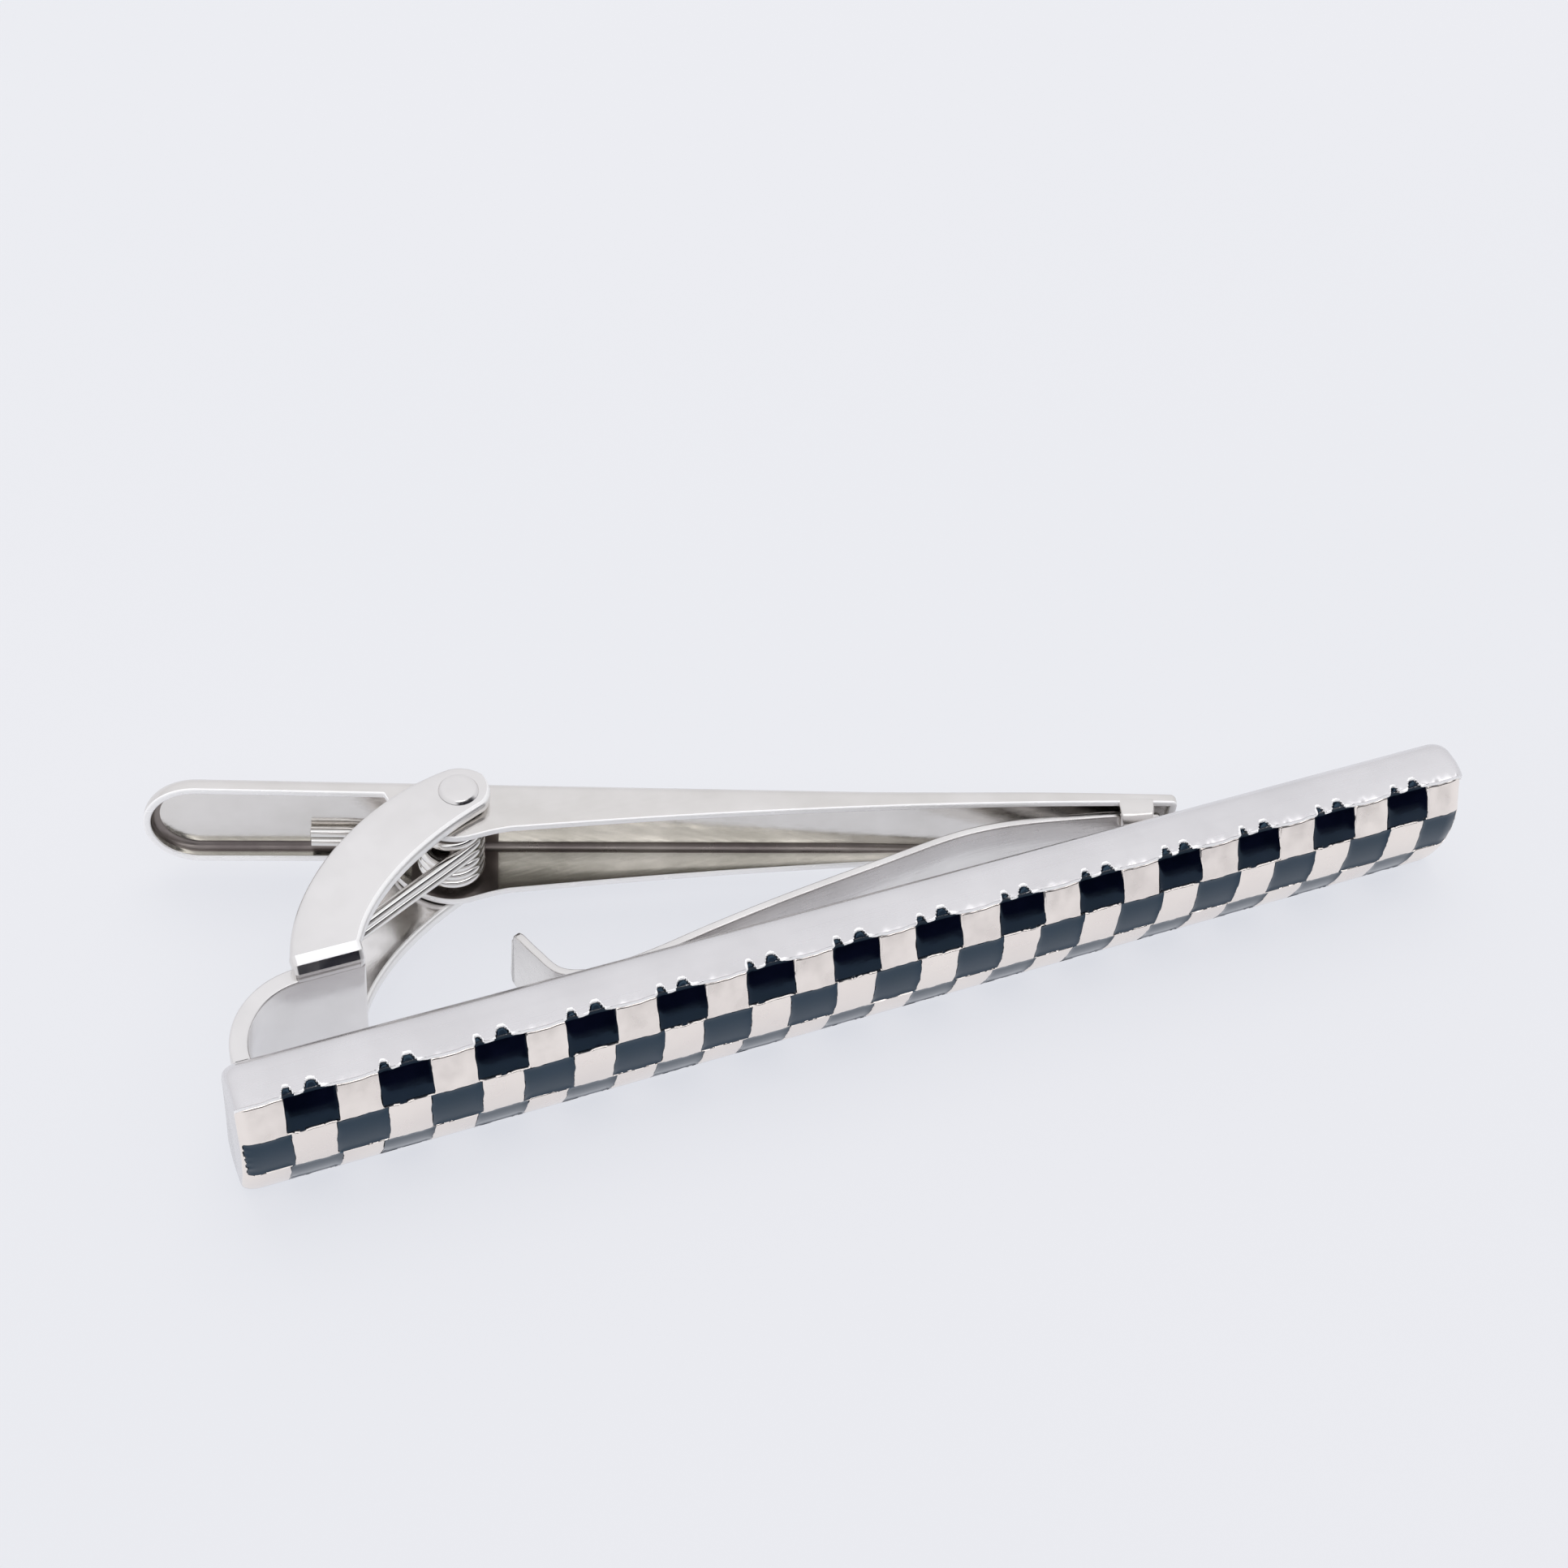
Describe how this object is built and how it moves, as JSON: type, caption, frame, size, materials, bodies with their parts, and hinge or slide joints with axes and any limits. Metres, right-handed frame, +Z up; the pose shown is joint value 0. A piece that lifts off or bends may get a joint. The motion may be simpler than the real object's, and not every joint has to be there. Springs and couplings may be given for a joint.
{
  "type": "alligator tie clip",
  "caption": "Tie clip: a barrel-faced bar with inlaid dark and silver checks, a neck bracket on its back, and a sprung lever with a bowed clamp leaf.",
  "frame": {"origin": "middle of the footprint, at the height of the bar's lower long edge", "axes": "+X along the front bar, away from the neck end; +Y from the bar's decorated face towards the lever; +Z up from the bar's lower long edge"},
  "size_m": [0.06, 0.0206, 0.0068],
  "materials": {
    "plated_bar": "polished, with fine lengthwise brushing on the edges",
    "enamel": "glossy fired enamel, nearly black",
    "plated_sheet": "satin plate",
    "lever_sheet": "bright plate",
    "leaf_steel": "brushed spring strip",
    "spring_wire": "bright round wire"
  },
  "bodies": {
    "base": {"front_bar": "plated_bar", "enamel_top_01": "enamel", "enamel_top_02": "enamel", "enamel_top_03": "enamel", "enamel_top_04": "enamel", "enamel_top_05": "enamel", "enamel_top_06": "enamel", "enamel_top_07": "enamel", "enamel_top_08": "enamel", "enamel_top_09": "enamel", "enamel_top_10": "enamel", "enamel_top_11": "enamel", "enamel_top_12": "enamel", "enamel_top_13": "enamel", "enamel_top_14": "enamel", "enamel_mid_01": "enamel", "enamel_mid_02": "enamel", "enamel_mid_03": "enamel", "enamel_mid_04": "enamel", "enamel_mid_05": "enamel", "enamel_mid_06": "enamel", "enamel_mid_07": "enamel", "enamel_mid_08": "enamel", "enamel_mid_09": "enamel", "enamel_mid_10": "enamel", "enamel_mid_11": "enamel", "enamel_mid_12": "enamel", "enamel_mid_13": "enamel", "enamel_mid_14": "enamel", "enamel_mid_15": "enamel", "enamel_low_01": "enamel", "enamel_low_02": "enamel", "enamel_low_03": "enamel", "enamel_low_04": "enamel", "enamel_low_05": "enamel", "enamel_low_06": "enamel", "enamel_low_07": "enamel", "enamel_low_08": "enamel", "enamel_low_09": "enamel", "enamel_low_10": "enamel", "enamel_low_11": "enamel", "enamel_low_12": "enamel", "enamel_low_13": "enamel", "enamel_low_14": "enamel", "neck_bracket": "plated_sheet", "pivot_rivet": "plated_sheet", "torsion_spring": "spring_wire"},
    "lever_body": {"lever": "lever_sheet"},
    "leaf_body": {"clamp_leaf": "leaf_steel"}
  },
  "joints": [
    {"name": "lever_pivot", "type": "hinge", "parent": "base", "child": "lever_body", "pos_m": [-0.016, 0.00423, 0.0034], "axis": [0, 0, 1], "range_deg": [0, 32], "stiffness_Nm_per_rad": 0.005, "springref_deg": -28.65, "deforming": ["torsion_spring"]},
    {"name": "leaf_flex", "type": "hinge", "parent": "lever_body", "child": "leaf_body", "pos_m": [0.0152, -0.00575, 0.0034], "axis": [0, 0, 1], "range_deg": [-5, 0], "stiffness_Nm_per_rad": 0.001}
  ]
}
